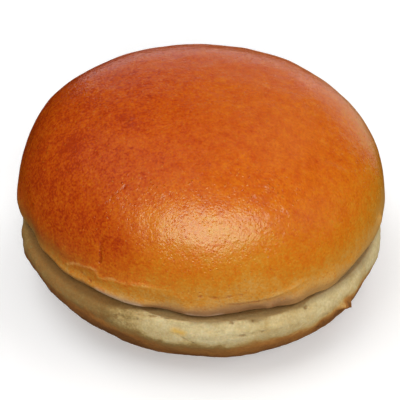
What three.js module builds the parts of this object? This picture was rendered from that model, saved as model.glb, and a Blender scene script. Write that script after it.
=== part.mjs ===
// A sliced brioche bun: a domed crown that rests on a thick heel, both cut from one baked piece of dough.
// Units are millimetres, +Z is up, and the origin is the middle of the bun's footprint on the table.

import * as THREE from "three";

// Driving dimensions.
const CROWN_DIAMETER = 110; // the dome at its widest
const HEEL_DIAMETER = 112.4; // the heel's bulging side at its widest
const BASE_DIAMETER = 93; // the flat face that sat on the baking tray
const BUN_HEIGHT = 60;
const CUT_HEIGHT = 19.4; // the knife cut, above the table
const CUT_GAP = 0.3; // air between the two cut faces
const CROWN_BULGE_HEIGHT = 22.8; // where the dome is widest
const HEEL_BULGE_HEIGHT = 13.6; // where the heel is widest
const CROWN_RIM_INSET = 1.4; // how far each rim is drawn in from its bulge
const HEEL_RIM_INSET = 1.6;
const DOME_SQUARENESS = 2.4; // exponent of the dome's superellipse: 2 is an ellipse
const FOOT_SQUARENESS = 1.6; // the same for the heel's side below its bulge

// Uneven rise. A heading is an angle round the bun from its front, -Y, towards its right, +X.
// The crown was put back a little behind the place where it was cut, so it stands over the heel's back edge.
const CROWN_RISE = {
  peakShift: [-1, 1],
  footShift: [0, 0],
  oval: { amount: 0.018, heading: 67 },
  threeSided: { amount: 0.013, heading: 13 },
};
const HEEL_RISE = {
  peakShift: [-0.8, -1],
  footShift: [1.3, -0.9],
  oval: { amount: 0.016, heading: 30 },
  threeSided: { amount: 0.006, heading: 13 },
};

// How finely the round surfaces are faceted.
const SIDES = 72;
const DOME_STEPS = 18;
const BULGE_STEPS = 5;
const FOOT_STEPS = 8;
const FACE_RINGS = 2;

const CRUST_GOLD = 0xb8581a;
const CRUST_PALE = 0xcbb884;

/** Points of a quarter superellipse, from beside its centre (t = 0) to above it (t = 1), ends included. */
function quarterCurve(centre, reach, squareness, steps) {
  return Array.from({ length: steps + 1 }, (_, i) => {
    const angle = ((i / steps) * Math.PI) / 2;
    const across = i === steps ? 0 : Math.cos(angle) ** (2 / squareness);
    return new THREE.Vector2(
      centre.x + reach.x * across,
      centre.y + reach.y * Math.sin(angle) ** (2 / squareness),
    );
  });
}

/** Points across a flat face, from the axis out to just short of its edge. */
function facePoints(radius, height) {
  return Array.from(
    { length: FACE_RINGS },
    (_, i) => new THREE.Vector2((radius * i) / FACE_RINGS, height),
  );
}

/** The crown's half section: its cut face, the tucked-in rim and the dome, from axis to axis. */
function crownSection() {
  const radius = CROWN_DIAMETER / 2;
  const floor = CUT_HEIGHT + CUT_GAP;
  const rim = radius - CROWN_RIM_INSET;
  const bulge = new THREE.Vector2(rim, CROWN_BULGE_HEIGHT);
  const tuck = quarterCurve(
    bulge,
    new THREE.Vector2(CROWN_RIM_INSET, floor - CROWN_BULGE_HEIGHT),
    2,
    BULGE_STEPS,
  ).reverse();
  const dome = quarterCurve(
    new THREE.Vector2(0, CROWN_BULGE_HEIGHT),
    new THREE.Vector2(radius, BUN_HEIGHT - CROWN_BULGE_HEIGHT),
    DOME_SQUARENESS,
    DOME_STEPS,
  );
  return [...facePoints(rim, floor), ...tuck, ...dome.slice(1)];
}

/** The heel's half section: its base, the side that swells to the bulge, the rim and its cut face. */
function heelSection() {
  const radius = HEEL_DIAMETER / 2;
  const base = BASE_DIAMETER / 2;
  const rim = radius - HEEL_RIM_INSET;
  const foot = quarterCurve(
    new THREE.Vector2(base, HEEL_BULGE_HEIGHT),
    new THREE.Vector2(radius - base, -HEEL_BULGE_HEIGHT),
    FOOT_SQUARENESS,
    FOOT_STEPS,
  ).reverse();
  const shoulder = quarterCurve(
    new THREE.Vector2(rim, HEEL_BULGE_HEIGHT),
    new THREE.Vector2(HEEL_RIM_INSET, CUT_HEIGHT - HEEL_BULGE_HEIGHT),
    2,
    BULGE_STEPS,
  );
  const cutFace = facePoints(rim, CUT_HEIGHT).reverse();
  return [...facePoints(base, 0), ...foot, ...shoulder.slice(1), ...cutFace];
}

/** How much wider than round a ring is at a heading, as a factor. */
function outOfRound(heading, { oval, threeSided }) {
  const wave = (sides, { amount, heading: peak }) =>
    amount * Math.cos(sides * (heading - THREE.MathUtils.degToRad(peak)));
  return 1 + wave(2, oval) + wave(3, threeSided);
}

/** Turns a half section round the axis, then lets it rise unevenly between a low and a high level. */
function risen(section, rise, low, high) {
  const geometry = new THREE.LatheGeometry(section, SIDES);
  geometry.rotateX(Math.PI / 2);
  const position = geometry.getAttribute("position");
  const point = new THREE.Vector3();
  for (let i = 0; i < position.count; i++) {
    point.fromBufferAttribute(position, i);
    const heading = Math.atan2(point.x, -point.y);
    const share = THREE.MathUtils.smoothstep(point.z, low, high);
    const factor = outOfRound(heading, rise);
    const shift = [0, 1].map((k) =>
      THREE.MathUtils.lerp(rise.footShift[k], rise.peakShift[k], share),
    );
    position.setXY(
      i,
      point.x * factor + shift[0],
      point.y * factor + shift[1],
    );
  }
  geometry.computeVertexNormals();
  return geometry;
}

function crown() {
  const geometry = risen(crownSection(), CROWN_RISE, CUT_HEIGHT, BUN_HEIGHT);
  const crust = new THREE.MeshStandardMaterial({
    color: CRUST_GOLD,
    roughness: 0.42,
    metalness: 0,
  });
  const mesh = new THREE.Mesh(geometry, crust);
  mesh.name = "crown";
  return mesh;
}

function heel() {
  const geometry = risen(heelSection(), HEEL_RISE, 0, HEEL_BULGE_HEIGHT);
  const crust = new THREE.MeshStandardMaterial({
    color: CRUST_PALE,
    roughness: 0.8,
    metalness: 0,
  });
  const mesh = new THREE.Mesh(geometry, crust);
  mesh.name = "heel";
  return mesh;
}

/** Both halves, moved together so that the origin is the middle of the bun's outline. */
function briocheBun() {
  const bun = new THREE.Group();
  bun.add(heel(), crown());
  const middle = new THREE.Box3()
    .setFromObject(bun, true)
    .getCenter(new THREE.Vector3());
  bun.position.set(-middle.x, -middle.y, 0);
  return bun;
}

export default briocheBun();
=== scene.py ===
"""A sliced brioche bun: a glossy, egg-washed crown that rests on the pale heel it was cut from."""

import logging
import math
from collections.abc import Iterable, Sequence
from dataclasses import dataclass
from enum import Enum

import bpy
import numpy as np
from mathutils import Euler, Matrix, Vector


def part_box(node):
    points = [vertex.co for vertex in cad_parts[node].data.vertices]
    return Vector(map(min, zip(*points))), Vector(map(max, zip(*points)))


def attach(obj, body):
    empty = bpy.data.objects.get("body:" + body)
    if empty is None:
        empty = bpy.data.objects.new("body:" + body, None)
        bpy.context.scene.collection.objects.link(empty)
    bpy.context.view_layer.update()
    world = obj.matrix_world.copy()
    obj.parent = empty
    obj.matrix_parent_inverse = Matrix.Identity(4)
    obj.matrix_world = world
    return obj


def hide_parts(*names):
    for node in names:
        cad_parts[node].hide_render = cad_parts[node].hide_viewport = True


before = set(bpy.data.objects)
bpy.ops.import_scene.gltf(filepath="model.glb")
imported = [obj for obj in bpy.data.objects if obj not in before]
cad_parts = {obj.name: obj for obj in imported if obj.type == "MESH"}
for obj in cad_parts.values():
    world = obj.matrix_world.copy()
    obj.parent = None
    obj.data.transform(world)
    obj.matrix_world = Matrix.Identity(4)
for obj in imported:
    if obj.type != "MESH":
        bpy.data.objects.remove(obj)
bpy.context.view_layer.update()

LOG = logging.getLogger("bun")
MM = 0.001
SIDES = 60  # vertices round each ring of a piece before it is subdivided
ROUNDS = 3  # how many times each piece is subdivided once its rings are drawn
CUT_EDGE = 9.0  # how far in from a piece's widest reach, in mm, the relief of its cut face begins
FLAT = 0.3  # how near to a level, in mm, a point counts as lying on it
CRUMB_DEPTH = 2.5  # how far from the level of a cut, in mm, a face still counts as part of it
LEVEL = 0.8  # how squarely a face looks up or down, from 0 to 1, when it is part of a cut face
FAINT = 0.002  # weights below this are left out of a vertex group

Socket = bpy.types.NodeSocket
Value = float | Socket
Colour = tuple[float, float, float]
Paint = Colour | Socket
Weights = np.ndarray
Pairs = tuple[tuple[float, float], ...]


# ---------------------------------------------------------------- places and marks on the skin


@dataclass(frozen=True)
class Place:
    """A place on the bun's outside.

    Heading is in degrees round from the front, -Y, towards the right, +X. Height is in mm above the table.
    """

    heading: float
    height: float


@dataclass(frozen=True)
class Mark:
    """A spot at one place, or a stroke through several.

    Width is the distance in mm over which it fades out, and strength its share of the full effect.
    """

    places: tuple[Place, ...]
    width: float
    strength: float = 1.0


@dataclass(frozen=True)
class Nudge:
    """A push of the hand: the skin round a place is moved out and up by so many mm, fading out at reach."""

    place: Place
    out: float
    up: float
    reach: float


class Skin:
    """Knows where a piece's vertices lie, so that marks can be put on its outside."""

    def __init__(self, piece: bpy.types.Object, centre: Vector) -> None:
        """Reads the piece's mesh.

        Args:
            piece: The piece, with its place in its mesh.
            centre: The point on the table that headings are counted round.
        """
        flat = np.empty(len(piece.data.vertices) * 3)
        piece.data.vertices.foreach_get("co", flat)
        self.points = (flat.reshape(-1, 3) - np.array(centre)) / MM
        self.heading = np.arctan2(self.points[:, 0], -self.points[:, 1])
        self.reach = np.hypot(self.points[:, 0], self.points[:, 1])
        self.height = self.points[:, 2]

    def index(self, place: Place) -> int:
        """Finds the vertex at a place, the outermost one where several would do.

        Args:
            place: The place to look at.

        Returns:
            The vertex's index.
        """
        turn = self.heading - math.radians(place.heading)
        turn = np.abs((turn + math.pi) % math.tau - math.pi)
        off = np.hypot(self.height - place.height, turn * self.reach)
        return int(np.argmin(off - 0.05 * self.reach))

    def coverage(self, marks: Iterable[Mark]) -> Weights:
        """Works out how strongly a set of marks covers each vertex.

        Args:
            marks: The spots and strokes. Where they overlap, the stronger one counts.

        Returns:
            One weight per vertex, from 0 to 1.
        """
        total = np.zeros(len(self.points))
        for mark in marks:
            route = [self.points[self.index(place)] for place in mark.places]
            gap = np.min([self._gap(a, b) for a, b in zip(route, route[1:] or route)], axis=0)
            total = np.maximum(total, mark.strength * np.exp(-((gap / mark.width) ** 2)))
        return np.clip(total, 0, 1)

    def along(self, line: Sequence[tuple[float, float]]) -> Weights:
        """Reads off, for each vertex's heading, a line of values given at a few headings."""
        return np.interp(np.degrees(self.heading), *zip(*line))

    def under(self, line: Sequence[Place]) -> Weights:
        """Picks the vertices that lie lower than a line round the piece.

        Args:
            line: The places that the line runs through, from left to right.

        Returns:
            One weight per vertex: 1 where it is lower, and 0 elsewhere.
        """
        turns = [math.radians(place.heading) for place in line]
        heights = [place.height for place in line]
        return (self.height < np.interp(self.heading, turns, heights)).astype(float)

    def _gap(self, start: np.ndarray, end: np.ndarray) -> Weights:
        """Measures how far each vertex is from the straight line between two points.

        Args:
            start: The point where the line starts.
            end: The point where it ends, which may be the same one.

        Returns:
            One distance in mm per vertex.
        """
        along = end - start
        length = max(float(along @ along), 1e-12)
        share = np.clip((self.points - start) @ along / length, 0, 1)
        return np.linalg.norm(self.points - start - share[:, None] * along, axis=1)


def spots(width: float, *places: tuple[float, float]) -> tuple[Mark, ...]:
    """Makes round marks of one width, each at a heading and height."""
    return tuple(Mark((Place(*place),), width) for place in places)


def stroke(width: float, strength: float, *places: tuple[float, float]) -> Mark:
    """Makes one stroke through a few headings and heights."""
    return Mark(tuple(Place(*place) for place in places), width, strength)


def between(values: Weights, start: float, end: float) -> Weights:
    """Gives each value's share of the way from start to end, from 0 to 1."""
    return np.clip((values - start) / (end - start), 0, 1)


# ---------------------------------------------------------------- shaping


class Fit(Enum):
    """The ways in which skin is laid onto a CAD surface, by Blender's names."""

    NEAREST = "NEAREST_SURFACEPOINT"
    STRAIGHT_UP = "PROJECT"


class Way(Enum):
    """The ways in which marked skin is moved, by Blender's names."""

    OUT = "NORMAL"
    UP = "Z"


@dataclass(frozen=True)
class Relief:
    """Cloudy relief over one weighted part of a piece. Lengths are in mm."""

    group: str
    grain: float
    depth: float
    middle: float = 0.5  # the share of the depth that lies below the skin: at 1 it only sinks


class Dough:
    """One piece under the hands, drawn up ring by ring and then finished with modifiers."""

    def __init__(self, name: str, centre: Vector, radius: float, height: float) -> None:
        """Lays down the first ring.

        Args:
            name: The finished piece's name.
            centre: The middle of the piece's footprint, in metres.
            radius: The ring's radius, in mm.
            height: The ring's height above the table, in mm.
        """
        deselect()
        self.middle = Vector((centre.x, centre.y, height * MM))
        self.radius = radius
        bpy.ops.mesh.primitive_circle_add(
            vertices=SIDES, radius=radius * MM, fill_type="NOTHING", location=self.middle
        )
        self.piece = bpy.context.object
        self.piece.name = self.piece.data.name = name
        self.centre = Vector((centre.x, centre.y, 0))
        bpy.ops.object.mode_set(mode="EDIT")
        bpy.ops.mesh.select_mode(type="VERT")
        bpy.ops.mesh.select_all(action="SELECT")

    def draw(self, radius: float, height: float) -> None:
        """Extrudes the open ring upwards and resizes it.

        Args:
            radius: Its new radius, in mm.
            height: Its new height above the table, in mm.
        """
        rise = height * MM - self.middle.z
        bpy.ops.mesh.extrude_region_move(TRANSFORM_OT_translate={"value": (0, 0, rise)})
        self.middle.z += rise
        scale = radius / self.radius
        bpy.ops.transform.resize(value=(scale, scale, 1), center_override=self.middle)
        self.radius = radius

    def close(self) -> None:
        """Closes both open rings with a grid of faces and turns every face outwards."""
        span = SIDES // 4
        bpy.ops.mesh.fill_grid(span=span)
        bpy.ops.mesh.select_all(action="DESELECT")
        bpy.ops.mesh.select_non_manifold(extend=False, use_wire=False, use_multi_face=False)
        bpy.ops.mesh.fill_grid(span=span)
        bpy.ops.mesh.select_all(action="SELECT")
        bpy.ops.mesh.normals_make_consistent(inside=False)
        bpy.ops.object.mode_set(mode="OBJECT")
        bpy.ops.object.transform_apply(location=True, rotation=True, scale=True)

    def skin(self) -> Skin:
        """Measures the piece as it is now."""
        return Skin(self.piece, self.centre)

    def weigh(self, name: str, weights: Weights) -> None:
        """Stores weights as a vertex group, for a modifier to read.

        Args:
            name: The group's name.
            weights: One weight per vertex, from 0 to 1.
        """
        group = self.piece.vertex_groups.get(name) or self.piece.vertex_groups.new(name=name)
        for index in np.flatnonzero(weights > FAINT):
            group.add([int(index)], float(weights[index]), "REPLACE")

    def paint(self, name: str, weights: Weights) -> None:
        """Stores weights as an attribute, for a material to read."""
        layer = self.piece.data.attributes.new(name, "FLOAT", "POINT")
        layer.data.foreach_set("value", weights.astype(np.float32))

    def wrap(self, node: str, group: str, fit: Fit) -> None:
        """Lays a weighted part of the piece onto a CAD node's surface.

        Args:
            node: The CAD node that gives the shape.
            group: The vertex group that is moved.
            fit: Whether it moves to the nearest point or straight up.
        """
        modifier = self.piece.modifiers.new("wrap", "SHRINKWRAP")
        modifier.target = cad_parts[node]
        modifier.vertex_group = group
        modifier.wrap_method = fit.value
        modifier.use_project_z = fit is Fit.STRAIGHT_UP
        self.apply(modifier)

    def smooth(self) -> None:
        """Subdivides the piece into a rounder, finer mesh."""
        modifier = self.piece.modifiers.new("round", "SUBSURF")
        modifier.levels = modifier.render_levels = ROUNDS
        self.apply(modifier)

    def nudge(self, nudges: Iterable[Nudge]) -> None:
        """Moves the skin round each place in turn, as a hand would, with a soft edge.

        Args:
            nudges: The pushes, in order.
        """
        for step in nudges:
            skin = self.skin()
            index = skin.index(step.place)
            radial = Vector((skin.points[index][0], skin.points[index][1], 0)).normalized()
            move = radial * step.out * MM + Vector((0, 0, step.up * MM))
            self.select([index])
            bpy.ops.transform.translate(
                value=move,
                use_proportional_edit=True,
                proportional_edit_falloff="SMOOTH",
                proportional_size=step.reach * MM,
            )
            bpy.ops.object.mode_set(mode="OBJECT")

    def select(self, indices: Iterable[int]) -> None:
        """Selects only the given vertices and opens the piece in edit mode.

        Args:
            indices: The vertices' indices.
        """
        bpy.ops.object.mode_set(mode="EDIT")
        bpy.ops.mesh.select_mode(type="VERT")
        bpy.ops.mesh.select_all(action="DESELECT")
        bpy.ops.object.mode_set(mode="OBJECT")
        for index in indices:
            self.piece.data.vertices[index].select = True
        bpy.ops.object.mode_set(mode="EDIT")

    def emboss(self, relief: Relief) -> None:
        """Presses a cloudy pattern into the skin.

        Args:
            relief: The pattern, and the vertex group that takes it.
        """
        texture = bpy.data.textures.new("relief", "CLOUDS")
        texture.noise_scale = relief.grain * MM
        texture.noise_depth = 2
        modifier = self.piece.modifiers.new("relief", "DISPLACE")
        modifier.texture = texture
        modifier.texture_coords = "LOCAL"
        modifier.strength = relief.depth * MM
        modifier.mid_level = relief.middle
        modifier.vertex_group = relief.group
        self.apply(modifier)
        bpy.data.textures.remove(texture)

    def raise_marks(self, marks: Sequence[Mark], height: float) -> None:
        """Raises the skin under marks by so many mm, or sinks it where the height is negative."""
        self.raise_skin(self.skin().coverage(marks), height)

    def raise_skin(self, weights: Weights, height: float, way: Way = Way.OUT) -> None:
        """Moves each vertex by its weight's share of a height.

        Args:
            weights: The share of each vertex.
            height: How far a full share goes, in mm.
            way: Whether it goes out from the skin or straight up.
        """
        self.weigh("raised", weights)
        modifier = self.piece.modifiers.new("raised", "DISPLACE")
        modifier.direction = way.value
        modifier.strength = height * MM
        modifier.mid_level = 0
        modifier.vertex_group = "raised"
        self.apply(modifier)
        self.piece.vertex_groups.remove(self.piece.vertex_groups["raised"])

    def apply(self, modifier: bpy.types.Modifier) -> None:
        """Applies one modifier to the mesh."""
        bpy.context.view_layer.objects.active = self.piece
        bpy.ops.object.modifier_apply(modifier=modifier.name)

    def bake_in(self, *materials: bpy.types.Material) -> None:
        """Gives the piece its materials and smooth shading, and drops the groups that only shaped it.

        Args:
            materials: The material of each slot, in order.
        """
        for material in materials:
            self.piece.data.materials.append(material)
        self.piece.vertex_groups.clear()
        bpy.ops.object.shade_smooth()

    def assign(self, slot: int, picked: Weights) -> None:
        """Gives the faces that are picked one material slot."""
        for index in np.flatnonzero(picked):
            self.piece.data.polygons[index].material_index = slot

    def faces(self) -> tuple[Weights, Weights, Weights]:
        """Measures where each face is and how it lies.

        Returns:
            Each face's height in mm, how squarely it faces up, from -1 to 1, and its reach in mm.
        """
        polygons = self.piece.data.polygons
        middles, normals = np.empty(len(polygons) * 3), np.empty(len(polygons) * 3)
        polygons.foreach_get("center", middles)
        polygons.foreach_get("normal", normals)
        x, y, z = (middles.reshape(-1, 3) - np.array(self.centre)).T / MM
        return z, normals[2::3], np.hypot(x, y)


def deselect() -> None:
    """Leaves edit mode and selects nothing."""
    if bpy.context.object and bpy.context.object.mode != "OBJECT":
        bpy.ops.object.mode_set(mode="OBJECT")
    bpy.ops.object.select_all(action="DESELECT")


def quarter(reach: float, rise: float, squareness: float, share: float) -> tuple[float, float]:
    """Gives a point of a quarter superellipse.

    Args:
        reach: How far it goes across.
        rise: How far it goes up or down.
        squareness: Its exponent: 2 is an ellipse, and more is squarer.
        share: How far along it the point lies, from 0 beside the centre to 1 above it.

    Returns:
        The point's distance across and up from the centre.
    """
    angle = share * math.pi / 2
    power = 2 / squareness
    return reach * math.cos(angle) ** power, rise * math.sin(angle) ** power


# ---------------------------------------------------------------- materials


class Graph:
    """Builds one material's shader nodes. Lengths in its patterns are in mm."""

    def __init__(self, name: str) -> None:
        """Starts an empty material whose patterns follow the piece's own solid coordinates.

        Args:
            name: The material's name.
        """
        self.material = bpy.data.materials.new(name)
        self.material.use_nodes = True
        self.tree = self.material.node_tree
        self.tree.nodes.clear()
        place = self.node("ShaderNodeTexCoord").outputs["Object"]
        self.place = self.vector("SCALE", place, scale=1 / MM)
        split = self.node("ShaderNodeSeparateXYZ")
        self.link(self.place, split.inputs[0])
        self.x, self.y, self.z = split.outputs

    def node(self, kind: str, **settings: object) -> bpy.types.Node:
        """Adds a node.

        Args:
            kind: Blender's name for the kind of node.
            settings: The node's own settings, by name.

        Returns:
            The node.
        """
        made = self.tree.nodes.new(kind)
        for key, value in settings.items():
            setattr(made, key, value)
        return made

    def link(self, value: Value | Paint | Vector, socket: Socket) -> None:
        """Feeds a socket from another socket or sets its own value.

        Args:
            value: The other socket, a number, a vector or a colour.
            socket: The socket that takes it.
        """
        if isinstance(value, bpy.types.NodeSocket):
            self.tree.links.new(value, socket)
        elif socket.type == "RGBA":
            socket.default_value = (*value, 1)
        else:
            socket.default_value = value

    def math(self, operation: str, a: Value, b: Value = 0.0) -> Socket:
        """Does a sum on one value or two.

        Args:
            operation: Blender's name for the sum.
            a: The first value.
            b: The second value, where the sum has one.

        Returns:
            The result.
        """
        made = self.node("ShaderNodeMath", operation=operation)
        self.link(a, made.inputs[0])
        self.link(b, made.inputs[1])
        return made.outputs[0]

    def add(self, *values: Value) -> Socket:
        """Adds up any number of values.

        Args:
            values: The values.

        Returns:
            Their sum.
        """
        total = values[0]
        for value in values[1:]:
            total = self.math("ADD", total, value)
        return total

    def times(self, a: Value, b: Value) -> Socket:
        """Multiplies two values."""
        return self.math("MULTIPLY", a, b)

    def vector(
        self, operation: str, a: Socket, b: Sequence[float] = (0, 0, 0), scale: Value = 1.0
    ) -> Socket:
        """Does a sum on a vector or a colour.

        Args:
            operation: Blender's name for the sum.
            a: The vector.
            b: A second vector, where the sum has one.
            scale: What SCALE multiplies it by.

        Returns:
            The result.
        """
        made = self.node("ShaderNodeVectorMath", operation=operation)
        self.link(a, made.inputs[0])
        self.link(b, made.inputs[1])
        self.link(scale, made.inputs[3])
        return made.outputs[0]

    def span(self, value: Value, start: float, end: float, low: float = 0.0, high: float = 1.0) -> Socket:
        """Maps a value softly onto another range, and holds it at that range's ends.

        Args:
            value: The value.
            start: Where low is reached.
            end: Where high is reached.
            low: The result at the start and beyond it.
            high: The result at the end and beyond it.

        Returns:
            The mapped value.
        """
        made = self.node("ShaderNodeMapRange", interpolation_type="SMOOTHSTEP")
        for setting, socket in zip((value, start, end, low, high), made.inputs):
            self.link(setting, socket)
        return made.outputs[0]

    def noise(
        self,
        size: float,
        detail: float = 3.0,
        roughness: float = 0.55,
        stretch: Sequence[float] = (1, 1, 1),
        shift: float = 0.0,
    ) -> Socket:
        """Makes cloudy noise centred on 0.

        Args:
            size: The size of its features, in mm.
            detail: How many finer layers it has.
            roughness: How strong the finer layers are.
            stretch: How many times longer its features are along X, Y and Z.
            shift: A distance that gives another pattern of the same kind.

        Returns:
            The noise, from about -0.5 to 0.5.
        """
        scaled = self.vector("MULTIPLY", self.place, [1 / s for s in stretch])
        moved = self.vector("ADD", scaled, (shift, shift, shift))
        made = self.node("ShaderNodeTexNoise")
        self.link(moved, made.inputs["Vector"])
        self.link(1 / size, made.inputs["Scale"])
        self.link(detail, made.inputs["Detail"])
        self.link(roughness, made.inputs["Roughness"])
        return self.math("SUBTRACT", made.outputs[0], 0.5)

    def cells(self, size: float, shift: float = 0.0) -> Socket:
        """Makes the distance to the nearest of many scattered points.

        Args:
            size: The points' spacing, in mm.
            shift: A distance that gives another scatter of the same kind.

        Returns:
            The distance, as a share of the spacing.
        """
        made = self.node("ShaderNodeTexVoronoi")
        self.link(self.vector("ADD", self.place, (shift, shift, shift)), made.inputs["Vector"])
        self.link(1 / size, made.inputs["Scale"])
        return made.outputs["Distance"]

    def grain(self, colour: Socket, amount: float) -> Socket:
        """Lightens and darkens a colour in fine specks, by up to half of an amount either way."""
        speck = self.add(self.times(self.noise(0.62, 1, shift=13), amount), 1.0)
        return self.vector("SCALE", colour, scale=speck)

    def mask(self, name: str) -> Socket:
        """Reads one of the piece's painted attributes."""
        return self.node("ShaderNodeAttribute", attribute_name=name).outputs["Fac"]

    def ramp(self, value: Socket, stops: Sequence[tuple[float, Colour]]) -> Socket:
        """Turns a value into a colour that runs softly through a few stops.

        Args:
            value: The value.
            stops: The position of each stop, from 0 to 1, and its colour.

        Returns:
            The colour.
        """
        made = self.node("ShaderNodeValToRGB")
        made.color_ramp.interpolation = "B_SPLINE"
        elements = made.color_ramp.elements
        while len(elements) < len(stops):
            elements.new(0.5)
        for element, (position, colour) in zip(elements, stops):
            element.position = position
            element.color = (*colour, 1)
        self.link(value, made.inputs[0])
        return made.outputs[0]

    def mix(self, share: Value, a: Paint, b: Paint) -> Socket:
        """Mixes two colours.

        Args:
            share: The share of the second one.
            a: The first colour.
            b: The second colour.

        Returns:
            The mixed colour.
        """
        made = self.node("ShaderNodeMix", data_type="RGBA")
        self.link(share, made.inputs[0])
        self.link(a, made.inputs[6])
        self.link(b, made.inputs[7])
        return made.outputs[2]

    def finish(
        self, colour: Paint, roughness: Value, height: Socket, specular: float, under: float, depth: float
    ) -> bpy.types.Material:
        """Joins everything in one shader.

        Args:
            colour: The surface's own colour.
            roughness: How dull it is.
            height: The fine relief, in mm.
            specular: How strongly it mirrors light.
            under: The share of light that spreads under the surface.
            depth: How far that light spreads, in mm.

        Returns:
            The finished material.
        """
        shader = self.node("ShaderNodeBsdfPrincipled")
        bump = self.node("ShaderNodeBump")
        self.link(height, bump.inputs["Height"])
        bump.inputs["Strength"].default_value = 1.0
        bump.inputs["Distance"].default_value = MM
        self.link(colour, shader.inputs["Base Color"])
        self.link(roughness, shader.inputs["Roughness"])
        self.link(bump.outputs[0], shader.inputs["Normal"])
        shader.inputs["Specular IOR Level"].default_value = specular
        shader.inputs["Subsurface Weight"].default_value = under
        shader.inputs["Subsurface Radius"].default_value = (1.0, 0.5, 0.2)
        shader.inputs["Subsurface Scale"].default_value = depth * MM
        output = self.node("ShaderNodeOutputMaterial")
        self.link(shader.outputs[0], output.inputs["Surface"])
        return self.material


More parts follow.
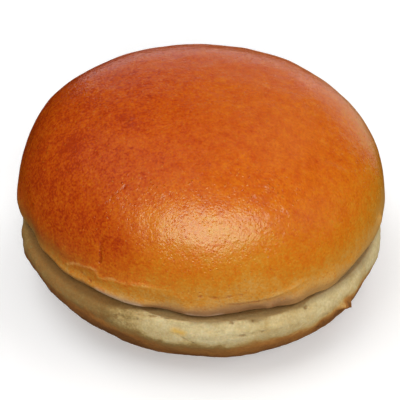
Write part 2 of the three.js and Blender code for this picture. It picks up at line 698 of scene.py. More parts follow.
@dataclass(frozen=True)
class EggWash:
    """The crown's skin: glossy and red-brown on the dome, gold and then pale by the cut."""

    # the torn lip edge's colour: partly the pale crumb of the cut, partly a painted highlight on it
    pale_crumb_and_glint: Colour = (0.74, 0.53, 0.36)
    # the colour of the painted highlight along the raised upper edges of the folds
    crest_highlight: Colour = (0.80, 0.44, 0.12)
    # the colour of the painted shade on the left end of the lip
    left_lip_shade: Colour = (0.22, 0.075, 0.014)
    # the lip's pale, dull colour, darkened further as painted shade where the lip faces down
    skin: Colour = (0.36, 0.172, 0.071)
    wheat: Colour = (0.66, 0.345, 0.080)
    tan: Colour = (0.66, 0.305, 0.055)
    gold: Colour = (0.66, 0.258, 0.015)
    honey: Colour = (0.66, 0.205, 0.007)
    amber: Colour = (0.67, 0.160, 0.003)
    orange: Colour = (0.60, 0.115, 0.002)
    russet: Colour = (0.55, 0.082, 0.001)
    deep: Colour = (0.49, 0.052, 0.001)
    scorched: Colour = (0.38, 0.032, 0.001)

    bake_line: float = 21.2  # the height in mm from which the bake deepens
    gloss: float = 0.265  # the roughness of the dome, before it is dulled by the cut

    def material(self) -> bpy.types.Material:
        """Bakes the skin by its height and side, then marks it, roughens it and gives it its gloss.

        Returns:
            The crown's material.
        """
        g = Graph("egg_washed_crust")
        height = g.add(g.z, g.times(g.noise(14, 3), 7), -self.bake_line)
        side = g.add(g.x, g.times(g.noise(30, 2, shift=7), 26))
        dots = g.span(g.cells(1.7, shift=11), 0.17, 0.06)
        flecks = g.span(g.cells(2.3, shift=31), 0.15, 0.05)
        crease = g.span(g.add(g.mask("crease"), g.times(g.noise(2.0, 3), 1.2)), 0.4, 1.0)
        crest_highlight = g.span(g.add(g.mask("crest_highlight"), g.times(g.noise(3, 3, 0.7), 1.4)), 0.5, 1.2)
        colour = self._lip(g, side, self._bake(g, height, side))
        colour = g.mix(g.times(dots, 0.45), colour, self.deep)
        colour = g.mix(g.times(flecks, 0.40), colour, self.gold)
        # the torn edges painted pale: partly crumb, partly a painted highlight
        colour = g.mix(g.times(g.mask("torn"), 0.8), colour, self.pale_crumb_and_glint)
        # the creases are darkened with the scorched colour as painted shade in them
        colour = g.mix(g.times(crease, 0.75), colour, self.scorched)
        # painted highlight along the folds' raised edges
        colour = g.mix(g.times(crest_highlight, 0.6), colour, self.crest_highlight)
        colour = g.grain(colour, 0.28)
        pits = g.span(g.cells(1.3), 0.38, 0.10)
        glints = g.times(g.span(g.cells(2.0, shift=17), 0.20, 0.04), g.mask("blistered"))
        relief = g.add(
            g.times(g.noise(2.6, 1), 0.12),
            g.times(g.noise(0.9, 0), 0.05),
            g.times(g.noise(0.5, 0, shift=5), 0.055),
            g.times(pits, -0.05),
            g.times(dots, -0.06),
            g.times(flecks, 0.06),
            g.times(crease, -0.20),
            g.times(glints, 0.22),
        )
        dulled = g.times(g.span(height, 14, 0), 0.30)
        roughness = g.add(self.gloss, g.times(g.noise(5, 3, shift=2), 0.14), dulled)
        return g.finish(colour, roughness, relief, specular=0.45, under=0.0, depth=2.0)

    def _bake(self, g: Graph, height: Socket, side: Socket) -> Socket:
        """Colours the skin by how much heat each part took.

        Args:
            g: The material's nodes.
            height: The uneven height over the line from which the bake deepens, in mm.
            side: The uneven distance towards the right, in mm.

        Returns:
            The baked colour.
        """
        fade = g.span(side, -48, 10, 5.2, 12.6)
        pale = g.math("EXPONENT", g.math("DIVIDE", g.times(height, -1.0), fade))
        toast = g.add(
            g.span(side, -45, 45, 0.12, -0.07),
            g.times(g.math("SUBTRACT", 1.0, pale), 0.78),
            g.times(g.noise(9, 3, 0.5), 0.20),
            g.times(g.noise(2.6, 2, 0.6, (1, 1, 1.4), shift=3), 0.44),
            g.times(g.noise(0.7, 1, shift=9), g.span(side, -45, 10, 0.75, 0.48)),
            g.times(g.mask("toasted"), 0.12),
            # golden patches: paler bake, partly painted light: a painted highlight round the gloss, painted
            # light on the lower front and a painted sheen on the right edge
            g.times(g.mask("golden_and_lit"), -0.35),
            g.times(g.mask("fold"), -0.08),
        )
        return g.ramp(
            toast,
            (
                (0.0, self.wheat), (0.10, self.tan), (0.24, self.gold), (0.38, self.honey),
                (0.52, self.amber), (0.66, self.orange), (0.80, self.russet), (0.92, self.deep),
                (1.0, self.scorched),
            ),
        )

    def _lip(self, g: Graph, side: Socket, colour: Socket) -> Socket:
        """Dulls the lip along the cut, with painted shade where it faces down, and paints shade on its left
        end.

        Args:
            g: The material's nodes.
            side: The uneven distance towards the right, in mm.
            colour: The baked colour.

        Returns:
            The colour with the lip in it.
        """
        upper_edge = g.span(side, -28, 10, 22.4, 25.4)
        height = g.add(g.z, g.times(g.noise(5, 3, shift=6), 3.0))
        lip = g.span(g.math("SUBTRACT", upper_edge, height), 0.0, 3.4)
        colour = g.mix(g.times(lip, g.span(side, 20, 40, 0.9, 0.3)), colour, self.skin)
        # painted shade on the left end of the lip, low on the dome
        left_lip_shade = g.times(g.span(side, -25, -50), g.span(g.z, 30, 23))
        return g.mix(g.times(left_lip_shade, 0.45), colour, self.left_lip_shade)


@dataclass(frozen=True)
class PaleSkin:
    """The heel's skin: soft cream dough that turns brown towards the tray."""

    milk: Colour = (0.74, 0.615, 0.350)
    cream: Colour = (0.66, 0.520, 0.260)
    straw: Colour = (0.56, 0.395, 0.160)
    olive: Colour = (0.30, 0.192, 0.061)
    umber: Colour = (0.28, 0.146, 0.042)
    biscuit: Colour = (0.55, 0.310, 0.090)
    rust: Colour = (0.44, 0.180, 0.040)
    brown: Colour = (0.38, 0.150, 0.032)
    scorched: Colour = (0.20, 0.075, 0.020)
    butter: Colour = (0.78, 0.47, 0.10)
    # the colour of the painted shade that the crown's lip casts on the cut face and the side below it
    edge: Colour = (0.300, 0.178, 0.063)
    # the colour of the painted shadow line under the crown's lip
    lip_shadow: Colour = (0.20, 0.095, 0.026)

    bake_line: float = 10.5  # the height in mm up to which the side has turned brown at the front
    dullness: float = 0.72  # the roughness of the pale side, before it is baked smoother below

    def material(self) -> bpy.types.Material:
        """Bakes the skin by its height, then paints the shade of the lip, the shadow line under it, the
        shade in the cracks and the stain.

        Returns:
            The heel's material.
        """
        g = Graph("pale_heel_skin")
        line = g.add(
            self.bake_line,
            g.span(g.x, 0, -32, 0, 2.9),
            g.span(g.x, 5, 32, 0, -0.7),
            g.times(g.noise(8, 4, 0.6), 5),
        )
        height = g.math("SUBTRACT", g.z, line)
        shade = g.span(g.add(g.mask("shade"), g.times(g.noise(2.0, 4, 0.7), 0.5)), 0.1, 1.0)
        crack = g.span(g.add(g.mask("crack"), g.times(g.noise(2.0, 3), 1.6)), 0.5, 1.1)
        colour = self._bake(g, height)
        # painted shade of the crown's lip
        colour = g.mix(g.times(shade, 0.85), colour, self.edge)
        # painted shadow line under the lip
        colour = g.mix(g.times(g.mask("lip_shadow"), 0.8), colour, self.lip_shadow)
        # the cracks are darkened with the umber colour as painted shade in them
        colour = g.mix(g.times(crack, 0.7), colour, self.umber)
        colour = g.mix(g.mask("stain"), colour, self.butter)
        colour = g.grain(colour, 0.36)
        relief = g.add(
            g.times(g.noise(4, 3), 0.30),
            g.times(g.noise(1.4, 4, 0.65, shift=5), 0.26),
            g.times(crack, -0.22),
            g.times(g.noise(0.6, 1, shift=9), 0.07),
        )
        baked = g.times(g.span(height, 2, -6), -0.12)
        roughness = g.add(self.dullness, g.times(g.noise(3, 2), 0.1), baked)
        return g.finish(colour, roughness, relief, specular=0.10, under=0.12, depth=2.5)

    def _bake(self, g: Graph, height: Socket) -> Socket:
        """Colours the skin by how much heat each part took, duller on the left than on the right.

        Args:
            g: The material's nodes.
            height: The uneven height over the line up to which the side has turned brown, in mm.

        Returns:
            The baked colour.
        """
        toast = g.add(
            g.span(height, 3.5, -2.5, 0, 0.6),
            g.span(height, -1, -9, 0, 0.2),
            g.span(g.math("ABSOLUTE", g.add(g.x, -23)), 14, 4, 0, 0.10),
            # the browned mask: browning, and painted shade on the heel's left side
            g.times(g.mask("browned_and_shaded"), g.span(g.z, 0, 5, 0.0, 0.5)),
            g.times(g.noise(6, 5, 0.7, shift=12), g.span(g.z, 8, 1, 0, 1.1)),
            g.times(g.noise(5, 4, 0.6, shift=4), 0.28),
            g.times(g.noise(1.8, 2, 0.7, shift=8), 0.30),
            g.times(g.noise(0.8, 1, shift=2), 0.18),
            g.times(g.mask("toasted"), 0.5),
            0.12,
        )
        pale = ((0.0, self.milk), (0.16, self.cream), (0.32, self.straw))
        dark = ((0.80, self.brown), (1.0, self.scorched))
        dull = g.ramp(toast, (*pale, (0.45, self.olive), (0.62, self.umber), *dark))
        warm = g.ramp(toast, (*pale, (0.45, self.biscuit), (0.62, self.rust), *dark))
        side = g.add(g.x, g.times(g.noise(14, 3, shift=21), 30), g.span(g.z, 6, 1, 0, 25))
        return g.mix(g.span(side, -5, 30), dull, warm)


@dataclass(frozen=True)
class Crumb:
    """The cut bread: soft, cream and full of small open pores."""

    cream: Colour = (0.76, 0.63, 0.37)
    hollow: Colour = (0.52, 0.36, 0.16)
    # the colour of the painted shade on the crumb's outer rim, between the halves
    rim_shade: Colour = (0.22, 0.125, 0.042)

    rim: float = 48.0  # how far out, in mm, the crumb is wholly painted in the dark rim colour, as shade between the halves
    heart: float = 40.0  # how far out, in mm, that painted shade begins

    def material(self) -> bpy.types.Material:
        """Mixes open pores of two sizes into the cream, inside a rim painted dark as shade between the
        halves.

        Returns:
            The cut faces' material.
        """
        g = Graph("open_crumb")
        out = g.math("POWER", g.add(g.times(g.x, g.x), g.times(g.y, g.y)), 0.5)
        inside = g.span(g.add(out, g.times(g.noise(6, 3), 5)), self.rim, self.heart)
        pores = g.times(g.span(g.add(g.cells(1.9), g.times(g.noise(1.2, 2), 0.5)), 0.45, 0.15), inside)
        small = g.times(g.span(g.cells(0.8, shift=6), 0.4, 0.1), inside)
        colour = g.mix(g.times(pores, 0.8), self.cream, self.hollow)
        colour = g.mix(g.times(small, 0.3), colour, self.hollow)
        rim = g.mix(g.span(g.noise(1.5, 4, 0.65), -0.1, 0.6), self.rim_shade, self.hollow)
        colour = g.mix(inside, rim, colour)
        relief = g.add(g.times(pores, -0.45), g.times(small, -0.15), g.times(g.noise(0.5, 2), 0.08))
        return g.finish(colour, 0.85, relief, specular=0.2, under=0.15, depth=2.5)


# ---------------------------------------------------------------- the two halves


@dataclass
class Crown:
    """The domed top half, from its cut face to the middle of the dome. Lengths are in mm."""

    node: str = "crown"
    slot: str = "crown_crust"
    bulge: float = 3.1  # height of the widest ring above the cut
    tuck: float = 1.4  # how far the lip is drawn in under the widest ring
    squareness: float = 2.4
    first_ring: float = 0.84  # the innermost ring's share of the lip's radius
    lip: Pairs = (  # each low ring's inset from the lip, and its height above the cut
        (5.0, 0.0), (1.2, 0.0), (0.35, 0.03), (0.1, 0.2), (-0.1, 0.7), (-0.65, 1.8),
    )
    dome_rings: int = 11
    dome_share: float = 0.68  # how far up the dome the rings go before the grid closes it
    crowding: float = 1.15  # at 1 the dome's rings are evenly spaced, and above it the lower ones crowd

    nudges: tuple[Nudge, ...] = (
        Nudge(Place(-68, 20), -1.5, 0.0, 11),
        Nudge(Place(-54, 20), -1.3, 0.0, 11),
        Nudge(Place(-40, 20), -1.4, 0.1, 11),
        Nudge(Place(-29, 20), -0.9, 0.1, 9),
        Nudge(Place(-19, 20), -0.5, 0.2, 8),
        Nudge(Place(-11, 20), -1.3, 0.1, 8),
        Nudge(Place(1, 20), 0.6, 0.0, 7),
        Nudge(Place(15, 20), -0.5, 0.0, 7),
        Nudge(Place(29, 20), 1.9, 0.0, 8),
        Nudge(Place(41, 20), 1.7, 0.0, 9),
        Nudge(Place(50, 20), 0.8, 0.0, 8),
        Nudge(Place(21, 21), 0.5, -0.2, 3),
        Nudge(Place(71, 26), 0.5, 0.0, 3),
        Nudge(Place(-96, 42), -0.9, 0.0, 17),
        Nudge(Place(-94, 34), -0.5, 0.0, 13),
        Nudge(Place(-82, 24), 0.8, 0.0, 10),
        Nudge(Place(-130, 48), -0.6, -0.1, 18),
        Nudge(Place(-158, 53), -0.3, -0.1, 14),
        Nudge(Place(172, 52), -0.5, -0.2, 28),
        Nudge(Place(128, 46), -0.6, -0.1, 18),
    )
    dents: tuple[Mark, ...] = (
        stroke(1.2, 0.6, (60, 50), (64, 47)),
        stroke(1.2, 0.7, (-33, 37), (-32, 31)),
        stroke(1.2, 0.8, (9, 23.2), (20, 23.8), (30, 24.8)),
    )
    folds: tuple[Mark, ...] = (
        stroke(5.0, 1.0, (-45, 24.5), (-40, 26.6), (-34.5, 28.6), (-31.5, 26.2), (-24, 27.2), (-16, 28.4)),
        stroke(4.0, 0.8, (12, 24.6), (24, 25.6), (31, 27.4)),
    )
    # the raised upper edges of the folds, also painted lighter as a painted highlight
    crests: tuple[Mark, ...] = (
        stroke(
            0.9, 1.0, (-46, 24.0), (-42, 26.0), (-38, 27.0), (-35.4, 28.2), (-34, 27.9), (-32.8, 26.8),
            (-32, 25.6),
        ),
        stroke(0.75, 0.9, (-31.5, 26.0), (-28, 26.9), (-24, 27.2), (-16, 28.2)),
        stroke(0.75, 0.7, (-11, 26.0), (-4, 26.2), (1, 26.6)),
        stroke(0.8, 0.8, (20, 25.0), (26, 25.8), (31, 27.2)),
    )
    blistered: tuple[Mark, ...] = (
        stroke(7, 1.0, (-28, 50), (-8, 53), (14, 52), (30, 48)),
        stroke(4, 0.7, (33, 45), (36, 38)),
    )
    knobs: tuple[Mark, ...] = spots(1.3, (-55, 57.5), (20, 21.4), (71, 27))
    # creases, sunk in the relief and darkened as painted shade
    creases: tuple[Mark, ...] = (
        stroke(0.9, 0.9, (-33, 36.5), (-32.3, 31)),
        stroke(0.8, 0.8, (-35, 45.5), (-31.5, 49.5)),
        stroke(0.8, 0.7, (-67, 33.5), (-66, 31)),
        stroke(0.8, 0.6, (-1, 27.0), (6, 26.6), (12, 27.2)),
        stroke(0.9, 0.7, (8, 24.0), (17, 23.9), (24, 24.6)),
        stroke(0.9, 0.7, (-41, 24.0), (-36, 22.6)),
        stroke(0.8, 0.5, (60, 50.5), (65, 47.5)),
        stroke(0.8, 0.5, (-76, 47), (-73, 45.5)),
    )
    blisters: tuple[Mark, ...] = (
        stroke(0.8, 1.0, (-29, 51.5), (-26, 52.4)),
        stroke(0.7, 1.0, (-27, 53.6), (-25, 53.1)),
        stroke(0.7, 1.0, (-12, 54.6), (-9, 54.2)),
        stroke(0.7, 0.8, (-3, 54.0), (1, 53.9)),
        stroke(0.8, 1.0, (27, 51.5), (28, 50.4)),
        stroke(0.7, 0.8, (31, 52.0), (32, 51.4)),
        stroke(0.8, 0.9, (30, 46.5), (31.5, 45.0)),
        *spots(0.8, (-33, 47.5), (-30, 46), (-20, 52), (-16, 50.5), (14, 52), (21, 50), (24, 46)),
    )
    toasted: tuple[Mark, ...] = (
        *spots(4.5, (-58, 57.6), (-66, 50.5), (-40, 40), (-27, 36)),
        stroke(6.5, 0.4, (-8, 57.6)),
    )
    # paler, golden bake, partly painted light: the first stroke is a painted highlight round the gloss, the
    # second is painted light on the lower front, and the last two are a painted sheen along the right edge
    golden_and_lit: tuple[Mark, ...] = (
        stroke(11, 0.62, (-12, 43), (12, 42)),
        stroke(7, 0.32, (-16, 31), (16, 31)),
        stroke(16, 0.6, (75, 26), (110, 30)),
        stroke(10, 0.65, (92, 41), (125, 43)),
    )
    # torn edges of the lip, painted pale: partly crumb, partly a painted highlight
    torn: tuple[Mark, ...] = (
        stroke(1.0, 1.0, (-33, 20.6), (-27, 20.6), (-19, 20.6)),
        stroke(0.8, 0.6, (-4, 20.3), (6, 20.3)),
    )

    def build(self) -> Dough:
        """Draws the crown from its cut face up to the top of the dome.

        Returns:
            The shaped piece.
        """
        low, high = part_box(self.node)
        floor, top = low.z / MM, high.z / MM
        radius = (high.x - low.x + high.y - low.y) / 4 / MM
        rim = radius - self.tuck
        dough = Dough("crown_bread", (low + high) / 2, rim * self.first_ring, floor)
        for inset, lift in self.lip:
            dough.draw(rim - inset, floor + lift)
        widest = floor + self.bulge
        for ring in range(self.dome_rings):
            share = self.dome_share * (ring / (self.dome_rings - 1)) ** self.crowding
            across, up = quarter(radius, top - widest, self.squareness, share)
            dough.draw(across, widest + up)
        dough.close()
        skin = dough.skin()
        dough.weigh("cap", (skin.height > widest + up - FLAT).astype(float))
        dough.weigh("dome", (skin.height > widest - FLAT).astype(float))
        dough.wrap(self.node, "cap", Fit.STRAIGHT_UP)
        dough.wrap(self.node, "dome", Fit.NEAREST)
        dough.smooth()
        dough.nudge(self.nudges)
        self._press(dough, floor)
        return dough

    def _press(self, dough: Dough, floor: float) -> None:
        """Presses the fine shapes into the crown.

        Args:
            dough: The crown.
            floor: The height of its cut face, in mm.
        """
        skin = dough.skin()
        cut = (skin.height < floor + FLAT) & (skin.reach < skin.reach.max() - CUT_EDGE)
        dough.weigh("cut", cut.astype(float))
        dough.weigh("skin", np.maximum(between(skin.height, floor, floor + 3), 0.15) * ~cut)
        dough.weigh("lip", between(skin.height, floor + 5, floor) * ~cut)
        dough.raise_marks(self.dents, -0.45)
        dough.raise_marks(self.knobs, 0.4)
        dough.raise_skin(self._fold(skin), 0.3)
        dough.raise_marks(self.crests, 0.2)
        dough.raise_marks(self.blisters, 0.28)
        dough.emboss(Relief("skin", 26, 1.1))
        dough.emboss(Relief("skin", 6, 0.20))
        dough.emboss(Relief("lip", 5, 0.5))
        dough.emboss(Relief("cut", 2.2, 1.6, middle=1.0))

    def _fold(self, skin: Skin) -> Weights:
        """Marks where a fold of pale skin laps over the lip: full at its upper edge, fading downwards."""
        return sum(skin.coverage([fold]) * skin.under(fold.places) for fold in self.folds)

    def dress(self, dough: Dough) -> None:
        """Colours the crown and puts it in the frame.

        Args:
            dough: The shaped crown.
        """
        skin = dough.skin()
        dough.paint("toasted", skin.coverage(self.toasted))
        dough.paint("golden_and_lit", skin.coverage(self.golden_and_lit))
        dough.paint("fold", self._fold(skin))
        dough.paint("torn", skin.coverage(self.torn))
        dough.paint("crease", skin.coverage(self.creases))
        dough.paint("crest_highlight", skin.coverage(self.crests))
        dough.paint("blistered", skin.coverage(self.blistered))
        dough.bake_in(EggWash().material(), Crumb().material())
        height, up, _ = dough.faces()
        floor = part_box(self.node)[0].z / MM
        dough.assign(1, (height < floor + CRUMB_DEPTH) & (up < -LEVEL))
        place_piece(dough.piece, self.node)


@dataclass
class Heel:
    """The lower half: a flat brown base, a pale bulging side and a flat cut face. Lengths are in mm."""

    node: str = "heel"
    slot: str = "heel_crust"
    base_radius: float = 46.5
    bulge: float = 13.6  # height of the widest ring
    rim_inset: float = 1.6  # how far the cut's edge is drawn in from the widest ring
    squareness: float = 1.6
    base_rings: tuple[float, ...] = (0.82, 0.91, 0.965)  # shares of the base's radius
    foot_rings: int = 8
    foot_start: float = 0.35  # how far above the base the first of them lies, as a share of a step
    edge: Pairs = (  # each high ring's inset from the widest ring, and its depth below the cut
        (0.25, 3.4), (0.8, 1.8), (1.2, 0.8), (1.45, 0.3), (1.75, 0.05), (2.6, 0.0), (4.6, 0.0),
    )
    last_ring: float = 0.8  # the innermost ring's share of the cut's radius
    crumb_inset: float = 6.5  # how far in from the CAD solid's widest reach the open crumb stops

    shoulder: float = 7.0  # how wide the rounding of the cut's edge is where it has slumped
    slump: float = 3.0  # how far the edge has slumped there
    slump_heights: tuple[float, float] = (8.0, 16.0)  # where the slump begins, and where it is full
    slumped: Pairs = (  # the share of the slump at each heading
        (-180, 1), (-30, 1), (-16, 0.2), (-12, 0), (34, 0), (55, 0.5), (180, 1),
    )
    sheltered: Pairs = (  # how far out the shade of the lip reaches at each heading
        (-180, 48), (-24, 48), (-18, 52.0), (-14, 53.3), (-9, 54.2), (-4, 54.8), (2, 54.9), (7, 55.2),
        (12, 55.4), (18, 56.0), (25, 56.1), (30, 55.6), (35, 54.6), (45, 52), (180, 48),
    )
    lip_shadow: Pairs = (  # how far out the painted shadow line under the lip reaches at each heading
        (-180, 53.6), (-64, 53.8), (-45, 54.2), (-25, 54.6), (-17, 53.6), (-10, 51.8), (-3, 54.6),
        (0, 54.9), (14, 54.2), (21, 54.4), (28, 56.0), (50, 55.9), (75, 55.4), (180, 53.2),
    )
    shade_height: tuple[float, float] = (13.5, 16.5)  # where both begin, and where they are full
    belt_height: float = 12.5  # the middle of a paler belt round the side, where the left's darkening and painted shade are halved
    belt_width: float = 2.5
    olive: Pairs = (  # how strongly the side is darkened at each heading: partly its own browning, partly painted shade on the left
        (-180, 0.2), (-100, 0.4), (-80, 0.85), (-60, 1.0), (-40, 0.95), (-28, 0.86), (-20, 0.4),
        (-10, 0.05), (60, 0), (90, 0.15), (180, 0.2),
    )

    nudges: tuple[Nudge, ...] = (
        Nudge(Place(-88, 13), -1.5, 0.0, 22),
        Nudge(Place(-62, 8), -1.0, 0.0, 13),
        Nudge(Place(-49, 8), -0.5, 0.0, 9),
        Nudge(Place(-72, 13), 0.6, 0.0, 5),
        Nudge(Place(-78, 17), 0.5, 0.0, 6),
        Nudge(Place(64, 8), -1.1, 0.0, 12),
        Nudge(Place(-27, 17), 0.5, 0.2, 4),
        Nudge(Place(-5, 19), 0.4, 0.0, 5),
        Nudge(Place(12, 19), 1.0, 0.0, 9),
        Nudge(Place(23, 19), 1.6, 0.0, 10),
        Nudge(Place(46.6, 12.0), 1.7, 0.3, 1.9),
        Nudge(Place(48.2, 11.2), 2.0, 0.0, 2.0),
        Nudge(Place(50.4, 10.2), 1.7, -0.7, 1.9),
        Nudge(Place(38.6, 9.2), 0.8, 0.0, 1.6),
    )
    # fissures, sunk into the side and darkened as painted shade
    fissures: tuple[Mark, ...] = (
        stroke(0.7, 0.9, (-24, 17.6), (-21, 16.9), (-18, 17.6)),
        stroke(0.6, 0.8, (-18, 19.0), (-14, 19.1), (-9, 19.2)),
        stroke(0.7, 0.7, (-6, 15.0), (-3.5, 13.6), (-1, 11.8)),
        stroke(0.8, 0.7, (9, 15.0), (14, 14.7), (19, 15.3)),
        stroke(0.7, 0.6, (3, 16.6), (7, 16.3)),
        stroke(0.8, 0.6, (38, 12.5), (44, 12.8), (50, 13.6)),
        *spots(0.9, (10, 18.6), (15.5, 18.4), (-24.5, 16.6), (33, 17.5)),
    )
    lumps: tuple[Mark, ...] = spots(1.6, (-27, 18), (-9, 12), (3, 15), (22, 16.5))
    toasted: tuple[Mark, ...] = (*spots(1.4, (38.6, 9.2)), *spots(2.2, (48.4, 11.3)))
    # browned patches low on the side; the left one is partly painted shade
    browned_and_shaded: tuple[Mark, ...] = (
        stroke(6.5, 1.0, (-64, 8), (-46, 11), (-28, 8)),
        stroke(3.5, 0.8, (40, 9.5), (60, 11)),
        stroke(6.0, 0.7, (110, 9), (135, 10)),
        stroke(6.0, 0.8, (-150, 9), (-120, 10)),
    )
    stain: tuple[Mark, ...] = (stroke(1.0, 0.9, (-6.6, 16.3), (-4.2, 15.7)),)

    def build(self) -> Dough:
        """Draws the heel from its base up to its cut face.

        Returns:
            The shaped piece.
        """
        low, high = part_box(self.node)
        top = high.z / MM
        radius = (high.x - low.x + high.y - low.y) / 4 / MM
        rim = radius - self.rim_inset
        first, *others = self.base_rings
        dough = Dough("heel_bread", (low + high) / 2, self.base_radius * first, 0)
        for share in others:
            dough.draw(self.base_radius * share, 0)
        for ring in range(self.foot_rings):
            share = 1 - (ring + self.foot_start) / (self.foot_rings - 1 + self.foot_start)
            across, down = quarter(radius - self.base_radius, self.bulge, self.squareness, share)
            dough.draw(self.base_radius + across, self.bulge - down)
        for inset, drop in self.edge:
            dough.draw(radius - inset, top - drop)
        dough.draw(rim * self.last_ring, top)
        dough.close()
        skin = dough.skin()
        side = (skin.height > FLAT) & (skin.height < top - 2)
        dough.weigh("side", side.astype(float))
        dough.wrap(self.node, "side", Fit.NEAREST)
        dough.smooth()
        skin = dough.skin()
        edge = np.clip((skin.reach - radius + self.shoulder) / self.shoulder, 0, 1.2) ** 2
        slumping = edge * skin.along(self.slumped) * between(skin.height, *self.slump_heights)
        dough.raise_skin(slumping, -self.slump, Way.UP)
        dough.nudge(self.nudges)
        self._press(dough, top)
        return dough

    def _press(self, dough: Dough, top: float) -> None:
        """Presses the fine shapes into the heel.

        Args:
            dough: The heel.
            top: The height of its cut face, in mm.
        """
        skin = dough.skin()
        cut = (skin.height > top - FLAT) & (skin.reach < skin.reach.max() - CUT_EDGE)
        base = skin.height < FLAT
        dough.weigh("cut", cut.astype(float))
        dough.weigh("base", base.astype(float))
        upper = np.maximum(between(skin.height, top, top - 2), 0.2)
        dough.weigh("skin", between(skin.height, 0, 3) * upper * ~cut)
        dough.raise_marks(self.fissures, -0.3)
        dough.raise_marks(self.lumps, 0.4)
        dough.emboss(Relief("skin", 18, 1.2))
        dough.emboss(Relief("skin", 5, 0.55))
        dough.emboss(Relief("skin", 1.8, 0.25))
        dough.emboss(Relief("cut", 2.2, 1.6, middle=1.0))
        dough.emboss(Relief("base", 5, 0.4, middle=1.0))

    def dress(self, dough: Dough) -> None:
        """Colours the heel and puts it in the frame.

        Args:
            dough: The shaped heel.
        """
        skin = dough.skin()
        dough.paint("toasted", skin.coverage(self.toasted))
        dough.paint("stain", skin.coverage(self.stain))
        dough.paint("crack", skin.coverage(self.fissures))
        belt = np.exp(-(((skin.height - self.belt_height) / self.belt_width) ** 2))
        olive = skin.along(self.olive) * (1 - 0.5 * belt)
        # browning and painted shade on the left, joined into one mask
        dough.paint("browned_and_shaded", np.maximum(skin.coverage(self.browned_and_shaded), olive))
        upper = between(skin.height, *self.shade_height)
        shade = between(skin.along(self.sheltered) - skin.reach, -0.35, 0.35)
        dough.paint("shade", shade * upper)
        lip_shadow = between(skin.along(self.lip_shadow) - skin.reach, 0.4, 1.6)
        dough.paint("lip_shadow", lip_shadow * upper)
        dough.bake_in(PaleSkin().material(), Crumb().material())
        height, up, reach = dough.faces()
        low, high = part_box(self.node)
        crumb_reach = (high.x - low.x) / 2 / MM - self.crumb_inset
        dough.assign(1, (height > high.z / MM - CRUMB_DEPTH) & (up > LEVEL) & (reach < crumb_reach))
        place_piece(dough.piece, self.node)


def place_piece(piece: bpy.types.Object, node: str) -> None:
    """Puts a finished piece in the frame in place of its CAD solid.

    Args:
        piece: The finished piece.
        node: The CAD node that it stands for.
    """
    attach(piece, "root")
    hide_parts(node)


# ---------------------------------------------------------------- the studio


@dataclass(frozen=True)
class Softbox:
    """A soft light that faces the bun: as tall as its size, and as wide as its size times its width.

    Heading and elevation are in degrees, distance and size in metres, and power in watts.
    """

    name: str
    heading: float
    elevation: float
    distance: float
    size: float
    power: float
    width: float = 1.0
    tint: Colour = (1.0, 1.0, 1.0)
    glossy: bool = True  # whether it shows in the crust's gloss
    diffuse: bool = True  # whether it lights matt surfaces

    def hang(self, target: Vector) -> None:
        """Hangs the light and turns it to the bun.

        Args:
            target: The point that it faces.
        """
        back = heading_vector(self.heading, self.elevation)
        bpy.ops.object.light_add(type="AREA", location=target + back * self.distance)
        lamp = bpy.context.object
        lamp.name = lamp.data.name = self.name
        lamp.data.shape = "RECTANGLE"
        lamp.data.size = self.size * self.width
        lamp.data.size_y = self.size
        lamp.data.energy = self.power
        lamp.data.color = self.tint
        lamp.visible_glossy = self.glossy
        lamp.visible_diffuse = self.diffuse
        lamp.rotation_euler = (-back).to_track_quat("-Z", "Y").to_euler()


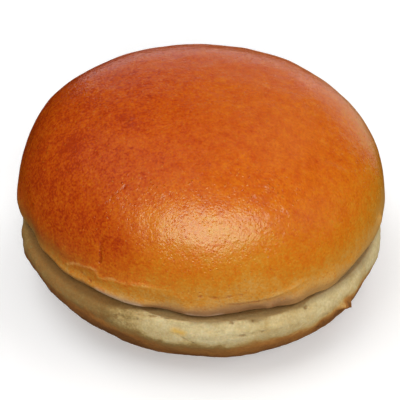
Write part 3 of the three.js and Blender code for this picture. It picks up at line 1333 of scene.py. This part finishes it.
@dataclass(frozen=True)
class Studio:
    """A white table top under soft lights, with the camera above the bun's front."""

    camera_elevation: float = 36.55  # in degrees, like the roll
    camera_distance: float = 0.45  # in metres, like the floor's size
    camera_roll: float = 0.46
    lens: float = 132.3  # in mm, like the sensor, the aim and the floor's drop
    sensor: float = 36.0
    aim: tuple[float, float, float] = (0.0, 1.3, 19.4)
    floor_size: float = 6.0
    floor_drop: float = 0.05  # how far the floor lies below the bun
    floor_glow: float = 0.18
    room_glow: float = 0.25
    lights: tuple[Softbox, ...] = (
        Softbox("gloss", 5, 43.4, 1.0, 0.50, 5.7, width=1.95, diffuse=False, tint=(0.54, 0.96, 1.0)),
        Softbox("skirt", -4, 46, 1.0, 0.62, 5.9, width=1.5, diffuse=False, tint=(0.55, 0.98, 0.62)),
        Softbox("key", 2, 24, 1.0, 0.38, 5.05, glossy=False),
        Softbox("overhead", -110, 62, 1.1, 1.0, 5.9, glossy=False),
        Softbox("side", 80, 22, 1.1, 0.7, 3.2, glossy=False),
        Softbox("back_fill", 140, 50, 1.1, 0.8, 3.0, glossy=False),
        Softbox("back", 180, 18, 1.0, 0.5, 0.38, width=1.6),
        Softbox("horizon", 180, 3, 1.0, 0.16, 0.45, width=5.0, diffuse=False),
        Softbox("far_side", 143, 3, 0.3, 0.16, 0.05, diffuse=False),
    )

    def build(self) -> None:
        """Lays the floor, hangs the lights and sets the camera."""
        self._floor()
        target = Vector(self.aim) * MM
        for light in self.lights:
            light.hang(target)
        self._surround()
        self._camera(target)
        bpy.context.scene.view_settings.view_transform = "Standard"

    def _floor(self) -> None:
        """Lays a white table top, a hair below the bun."""
        deselect()
        bpy.ops.mesh.primitive_plane_add(size=self.floor_size, location=(0, 0, -self.floor_drop * MM))
        floor = bpy.context.object
        floor.name = "floor"
        g = Graph("white_table")
        colour = g.mix(g.span(g.noise(40, 2), -0.5, 0.5), (0.90, 0.90, 0.90), (0.93, 0.93, 0.93))
        table = g.finish(colour, 0.8, g.times(g.noise(3, 2), 0.01), specular=0.1, under=0.0, depth=1.0)
        shader = next(node for node in g.tree.nodes if node.type == "BSDF_PRINCIPLED")
        shader.inputs["Emission Color"].default_value = (1, 1, 1, 1)
        shader.inputs["Emission Strength"].default_value = self.floor_glow
        floor.data.materials.append(table)
        floor.visible_diffuse = floor.visible_glossy = False

    def _surround(self) -> None:
        """Fills the room with even, pale light."""
        world = bpy.data.worlds.new("room")
        bpy.context.scene.world = world
        world.use_nodes = True
        background = world.node_tree.nodes["Background"]
        background.inputs["Color"].default_value = (1, 1, 1, 1)
        background.inputs["Strength"].default_value = self.room_glow
        world.cycles_visibility.glossy = False

    def _camera(self, target: Vector) -> None:
        """Sets the camera above the bun's front.

        Args:
            target: The point in the middle of the view.
        """
        back = heading_vector(0, self.camera_elevation)
        bpy.ops.object.camera_add(location=target + back * self.camera_distance)
        camera = bpy.context.object
        roll = Euler((0, 0, math.radians(self.camera_roll))).to_quaternion()
        camera.rotation_euler = ((-back).to_track_quat("-Z", "Y") @ roll).to_euler()
        camera.data.lens = self.lens
        camera.data.sensor_width = self.sensor
        bpy.context.scene.camera = camera


def heading_vector(heading: float, elevation: float) -> Vector:
    """Gives the direction from the bun towards a heading and an elevation, both in degrees."""
    turn, lift = math.radians(heading), math.radians(elevation)
    return Vector((math.sin(turn) * math.cos(lift), -math.cos(turn) * math.cos(lift), math.sin(lift)))


def main() -> None:
    """Builds both halves and the studio, and reports each piece."""
    logging.basicConfig(level=logging.INFO, format="%(message)s")
    for half in (Heel(), Crown()):
        dough = half.build()
        half.dress(dough)
        LOG.info("%s: %d faces", dough.piece.name, len(dough.piece.data.polygons))
    Studio().build()


if __name__ == "__main__":
    main()
